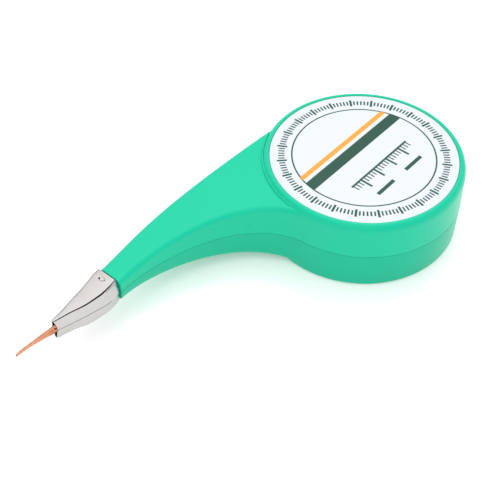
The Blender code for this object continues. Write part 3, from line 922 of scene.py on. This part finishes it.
class DISPENSER_OT_braid(bpy.types.Operator):
    """Weave the straight length of braid that runs out through the nozzle."""

    bl_idname = "dispenser.add_braid"
    bl_label = "Braid"

    def execute(self, context):
        braid = context.scene.dispenser_braid
        material = copper_material(context.scene.dispenser_finishes)
        show_from = TIP_X - 56.0 * MM
        outer = woven_length("braid_woven", show_from, TIP_X, 0.24 * MM, 5, braid)
        inner = woven_length("braid_inner", 0.0, show_from, 0.48 * MM, 4, braid)
        for obj in (outer, inner):
            dress(obj, material, "strand", "braid_strand")
        return {"FINISHED"}


class DISPENSER_OT_coil(bpy.types.Operator):
    """Wind the rest of the braid round the hub post as one spiral ribbon."""

    bl_idname = "dispenser.add_coil"
    bl_label = "Coil"

    def execute(self, context):
        steps_a_turn = 64
        turns = int((COIL_RADIUS - COIL_BORE) / BRAID_THICKNESS)
        pitch = (COIL_RADIUS - COIL_BORE) / (turns + 1)
        ribbon_share = 0.93
        thickness = pitch * ribbon_share
        rings = []
        for i in range(turns * steps_a_turn + 1):
            angle = math.tau * i / steps_a_turn
            inner = COIL_BORE + pitch * i / steps_a_turn
            ring = []
            for radius, height in (
                (inner, COIL_LOW.z), (inner + thickness, COIL_LOW.z),
                (inner + thickness, COIL_HIGH.z), (inner, COIL_HIGH.z),
            ):
                place = on_circle(radius, angle)
                ring.append((place.x, place.y, height))
            rings.append(ring)
        coil = loft("braid_winding", rings)
        dress(coil, copper_material(context.scene.dispenser_finishes), "coil", "braid_coil")
        return {"FINISHED"}


class Wire:
    """One node socket, so that shader maths can be written as Python expressions."""

    def __init__(self, board, socket):
        self.board = board
        self.socket = socket

    def maths(self, operation, *values):
        """Add one Math node."""
        return self.board.node("ShaderNodeMath", {"operation": operation}, dict(enumerate(values)))

    def __add__(self, other):
        return self.maths("ADD", self, other)

    def __radd__(self, other):
        return self.maths("ADD", other, self)

    def __sub__(self, other):
        return self.maths("SUBTRACT", self, other)

    def __rsub__(self, other):
        return self.maths("SUBTRACT", other, self)

    def __mul__(self, other):
        return self.maths("MULTIPLY", self, other)

    def __rmul__(self, other):
        return self.maths("MULTIPLY", other, self)

    def __truediv__(self, other):
        return self.maths("DIVIDE", self, other)

    def __mod__(self, other):
        return self.maths("FLOORED_MODULO", self, other)

    def __abs__(self):
        return self.maths("ABSOLUTE", self)


class Board:
    """One material's node tree, with its shader."""

    def __init__(self, name):
        self.material = bpy.data.materials.new(name)
        self.material.use_nodes = True
        self.tree = self.material.node_tree
        self.shader = self.tree.nodes["Principled BSDF"]

    def node(self, kind, settings, sockets, output=0):
        """Add one node: its settings first, then the values or links of its sockets."""
        node = self.tree.nodes.new(kind)
        for key, value in settings.items():
            if key == "stops":
                self.set_stops(node.color_ramp, value)
            else:
                setattr(node, key, value)
        for key, value in sockets.items():
            self.feed(node.inputs[key], value)
        return Wire(self, node.outputs[output])

    def feed(self, socket, value):
        """Link a wire to a socket or set the socket's own value."""
        if isinstance(value, Wire):
            self.tree.links.new(value.socket, socket)
        else:
            socket.default_value = value

    def set_stops(self, ramp, stops):
        """Give a ramp its (position, colour) stops."""
        while len(ramp.elements) < len(stops):
            ramp.elements.new(1.0)
        for element, (position, colour) in zip(ramp.elements, stops):
            element.position = position
            element.color = (*colour, 1.0)

    def place(self):
        """Position on the piece, in metres of the frame."""
        return self.node("ShaderNodeTexCoord", {}, {}, "Object")

    def parts(self, vector):
        """The three numbers of a vector."""
        split = self.node("ShaderNodeSeparateXYZ", {}, {0: vector})
        return [Wire(self, output) for output in split.socket.node.outputs]

    def noise(self, vector, scale, detail=3.0):
        """Noise between 0 and 1; the scale is in features a metre."""
        sockets = {"Vector": vector, "Scale": scale, "Detail": detail, "Roughness": 0.55}
        return self.node("ShaderNodeTexNoise", {}, sockets)

    def mix(self, share, first, second):
        """Mix two colours."""
        return self.node("ShaderNodeMix", {"data_type": "RGBA"}, {0: share, 6: first, 7: second}, 2)

    def clamp(self, value):
        """Keep a number between 0 and 1."""
        return self.node("ShaderNodeClamp", {}, {0: value})

    def bump(self, height, distance):
        """Turn a height field into the shader's normal."""
        sockets = {"Height": height, "Distance": distance, "Strength": 1.0}
        return self.node("ShaderNodeBump", {}, sockets)

    def finish(self, **sockets):
        """Feed the shader; the keys are its socket names with _ for a space."""
        for key, value in sockets.items():
            self.feed(self.shader.inputs[key.replace("_", " ")], value)
        return self.material


def rgba(colour, factor=1.0):
    """A colour property as four numbers, scaled by a factor."""
    return (*(min(1.0, channel * factor) for channel in colour), 1.0)


def plastic_material(name, finishes, depth):
    """Satin green moulded plastic with faint flow marks and a fine skin."""
    board = Board(name)
    place = board.place()
    flow = board.noise(place, 55.0, 2.0)
    skin = board.noise(place, 2600.0, 2.0)
    waves = board.noise(place, 240.0, 2.0)
    # depth scales the colour; the lower half's value below 1 is painted shade.
    colour = board.mix(flow, rgba(finishes.plastic, 0.97 * depth), rgba(finishes.plastic, 1.03 * depth))
    roughness = finishes.plastic_roughness + (waves - 0.5) * 0.08 + (skin - 0.5) * 0.05
    height = (skin * 0.35 + waves) * 0.3
    for pip in MOULD_PIPS:
        distance = board.node("ShaderNodeVectorMath", {"operation": "DISTANCE"}, {0: place, 1: pip}, "Value")
        height = height + board.clamp((0.4 * MM - distance) / (0.15 * MM))
    normal = board.bump(height, 0.1 * MM)
    return board.finish(
        Base_Color=colour, Roughness=roughness, Normal=normal, Specular_IOR_Level=0.25)


def label_material(design):
    """White printed film: a thin ring, two arcs of ticks, two straight stripes, a ruled scale and bars."""
    board = Board("label_print")
    place = board.place()
    x, y = board.parts(place)[:2]
    radius = x.maths("SQRT", x * x + y * y)
    turn = x.maths("ARCTAN2", y, x)
    soft = 0.03 * MM

    def within(value, middle, half_width):
        """1 where the value lies within half a width of the middle."""
        return board.clamp((half_width - abs(value - middle)) / soft + 0.5)

    def marks(value, spacing, shift):
        """Distance from the nearest of a row of evenly spaced marks."""
        return abs((value / spacing + shift) % 1.0 - 0.5) * spacing

    def arc_share(middle, half_angle):
        """1 along an arc of the outer band, angles in radians."""
        return board.clamp(((turn - middle).maths("COSINE") - math.cos(half_angle)) * 200.0)

    ring = within(radius, design.ring_radius, design.ring_line / 2)
    tick_angle = math.tau / design.ticks
    band = arc_share(design.long_arc_middle, design.long_arc / 2)
    band = band + arc_share(design.short_arc_middle, design.short_arc / 2)
    band_radius = 20.1 * MM
    short = within(marks(turn, tick_angle, 0.0) * radius, 0.0, 0.2 * MM)
    tall = within(marks(turn, 6 * tick_angle, 5 / 12) * radius, 0.0, 0.28 * MM)
    short = short * within(radius, band_radius, 0.75 * MM)
    tall = tall * within(radius, band_radius, 1.2 * MM)
    ticks = (short + tall) * band
    inside = board.clamp((design.ring_radius - radius) / soft)
    wide_middle = -3.0 * MM
    narrow_middle = -6.2 * MM
    wide = within(y, wide_middle, 1.5 * MM) * inside
    narrow = within(y, narrow_middle, 0.65 * MM) * inside
    rows = within(y, 4.6 * MM, 0.28 * MM)
    rows = rows + within(marks(x, 1.0 * MM, 0.0), 0.0, 0.17 * MM) * within(y, 5.4 * MM, 1.0 * MM)
    rows = rows + within(marks(x, 5.0 * MM, 0.0), 0.0, 0.3 * MM) * within(y, 6.2 * MM, 1.8 * MM)
    scale_half = 11.0 * MM
    scale = rows * within(x, 0.0, scale_half)
    bar_middle = 5.6 * MM
    bar_half = 3.2 * MM
    bars = within(x, bar_middle, bar_half) + within(x, -bar_middle, bar_half)
    bars = bars * within(y, 10.6 * MM, 0.5 * MM)
    dark = board.clamp(ring + ticks + wide + scale + bars)
    fibre = board.noise(place, 900.0, 4.0)
    paper = board.mix(fibre, rgba(design.paper, 0.985), rgba(design.paper, 1.015))
    colour = board.mix(dark, paper, rgba(design.dark_ink))
    colour = board.mix(narrow, colour, rgba(design.bright_ink))
    roughness = 0.42 - dark * 0.08 + (fibre - 0.5) * 0.06
    normal = board.bump(fibre * 0.4 + dark * 0.5, 0.006 * MM)
    return board.finish(
        Base_Color=colour, Roughness=roughness, Normal=normal, Specular_IOR_Level=0.2)


def metal_material(name, finishes, depth):
    """Bright plated sheet with fine drawn lines and a few scuffs; a low depth makes the darkened copy that
    paints shade on its inner side.
    """
    board = Board(name)
    place = board.place()
    stretched = board.node(
        "ShaderNodeVectorMath", {"operation": "MULTIPLY"}, {0: place, 1: (1.0, 12.0, 12.0)})
    drawn = board.noise(stretched, 700.0, 3.0)
    cloud = board.noise(place, 420.0, 3.0)
    scuff = board.noise(place, 3200.0, 2.0)
    colour = board.mix(cloud, rgba(finishes.metal, 0.93 * depth), rgba(finishes.metal, 1.05 * depth))
    roughness = 0.3 + (drawn - 0.5) * 0.12 + (cloud - 0.5) * 0.12
    normal = board.bump(drawn * 0.3 + scuff * 0.15 + cloud, 0.014 * MM)
    return board.finish(Base_Color=colour, Metallic=1.0, Roughness=roughness, Normal=normal)


def copper_material(finishes):
    """Bare copper wire with darker flux-stained patches."""
    board = Board("braid_copper")
    place = board.place()
    # Flux stains on the copper: the wire's own colour, not shade.
    stain_and_inside_shade = board.noise(place, 1500.0, 3.0)
    grain = board.noise(place, 9000.0, 2.0)
    colour = board.node(
        "ShaderNodeValToRGB",
        {"stops": [
            (0.3, rgba(finishes.copper, 0.55)[:3]),
            (0.5, rgba(finishes.copper, 0.95)[:3]),
            (0.7, rgba(finishes.copper, 1.15)[:3]),
        ]},
        {0: stain_and_inside_shade})
    roughness = 0.36 + (stain_and_inside_shade - 0.5) * 0.2
    normal = board.bump(grain, 0.01 * MM)
    return board.finish(Base_Color=colour, Metallic=1.0, Roughness=roughness, Normal=normal)


class DISPENSER_OT_stage(bpy.types.Operator):
    """Set up the pale floor, the soft lights and the camera."""

    bl_idname = "dispenser.add_stage"
    bl_label = "Stage"

    def execute(self, context):
        settings = context.scene.dispenser_stage
        board = Board("floor_paper")
        grain = board.noise(board.place(), 400.0, 2.0)
        board.finish(
            Base_Color=board.mix(grain, (0.93, 0.93, 0.93, 1.0), (0.96, 0.96, 0.96, 1.0)), Roughness=0.9,
            Emission_Color=(1.0, 1.0, 1.0, 1.0), Emission_Strength=0.2)
        floor = block("floor", (-3.0, -3.0, -0.02), (3.0, 3.0, -0.02 * MM))
        floor.data.materials.append(board.material)
        world = context.scene.world or bpy.data.worlds.new("surroundings")
        context.scene.world = world
        world.use_nodes = True
        backdrop = world.node_tree.nodes["Background"]
        backdrop.inputs["Color"].default_value = (1.0, 1.0, 1.0, 1.0)
        backdrop.inputs["Strength"].default_value = settings.sky
        for name, place, target, size, power in (
            ("key_light", (-0.05, -0.05, 0.62), (0.0, 0.0, 0.0), 1.1, settings.key),
            ("side_light", (0.33, 0.2, 0.22), (0.03, 0.0, 0.01), 0.25, settings.side),
            ("streak_light", (-0.22, -0.09, 0.6), (0.03, 0.0, 0.0), 0.1, settings.streak),
        ):
            self.add_light(context, name, place, target, size, power)
        data = bpy.data.cameras.new("camera")
        data.lens = settings.lens
        data.clip_start = 10 * MM
        camera = bpy.data.objects.new("camera", data)
        camera.location = settings.camera_place
        camera.rotation_euler = settings.camera_turn
        context.scene.collection.objects.link(camera)
        context.scene.camera = camera
        context.scene.view_settings.view_transform = "Standard"
        return {"FINISHED"}

    def add_light(self, context, name, place, target, size, power):
        """Add one square area light that looks at a target."""
        data = bpy.data.lights.new(name, "AREA")
        data.size = size
        data.energy = power
        light = bpy.data.objects.new(name, data)
        light.location = place
        way = Vector(target) - Vector(place)
        light.rotation_euler = way.to_track_quat("-Z", "Y").to_euler()
        context.scene.collection.objects.link(light)


GROUPS = (
    ("dispenser_case", CaseSizes),
    ("dispenser_label", LabelDesign),
    ("dispenser_nozzle", NozzleSizes),
    ("dispenser_braid", BraidSizes),
    ("dispenser_finishes", Finishes),
    ("dispenser_stage", StageSettings),
)
OPERATORS = (
    DISPENSER_OT_case,
    DISPENSER_OT_label,
    DISPENSER_OT_nozzle,
    DISPENSER_OT_braid,
    DISPENSER_OT_coil,
    DISPENSER_OT_stage,
)


class DISPENSER_PT_panel(bpy.types.Panel):
    """List the pieces and their settings in the sidebar."""

    bl_idname = "DISPENSER_PT_panel"
    bl_label = "Braid Dispenser"
    bl_space_type = "VIEW_3D"
    bl_region_type = "UI"
    bl_category = "Dispenser"

    def draw(self, context):
        for operator in OPERATORS:
            self.layout.operator(operator.bl_idname)
        for attribute, group in GROUPS:
            box = self.layout.box()
            for prop in group.__annotations__:
                box.prop(getattr(context.scene, attribute), prop)


def register():
    """Register the classes and hang the settings on the scene."""
    for attribute, group in GROUPS:
        bpy.utils.register_class(group)
        setattr(bpy.types.Scene, attribute, PointerProperty(type=group))
    for cls in (*OPERATORS, DISPENSER_PT_panel):
        bpy.utils.register_class(cls)


def unregister():
    """Take the classes and the settings away again."""
    for cls in reversed((*OPERATORS, DISPENSER_PT_panel)):
        bpy.utils.unregister_class(cls)
    for attribute, group in reversed(GROUPS):
        delattr(bpy.types.Scene, attribute)
        bpy.utils.unregister_class(group)


def main():
    """Build every piece and the stage."""
    register()
    bpy.ops.dispenser.add_case()
    bpy.ops.dispenser.add_label()
    bpy.ops.dispenser.add_nozzle()
    bpy.ops.dispenser.add_braid()
    bpy.ops.dispenser.add_coil()
    bpy.ops.dispenser.add_stage()


if __name__ == "__main__":
    main()
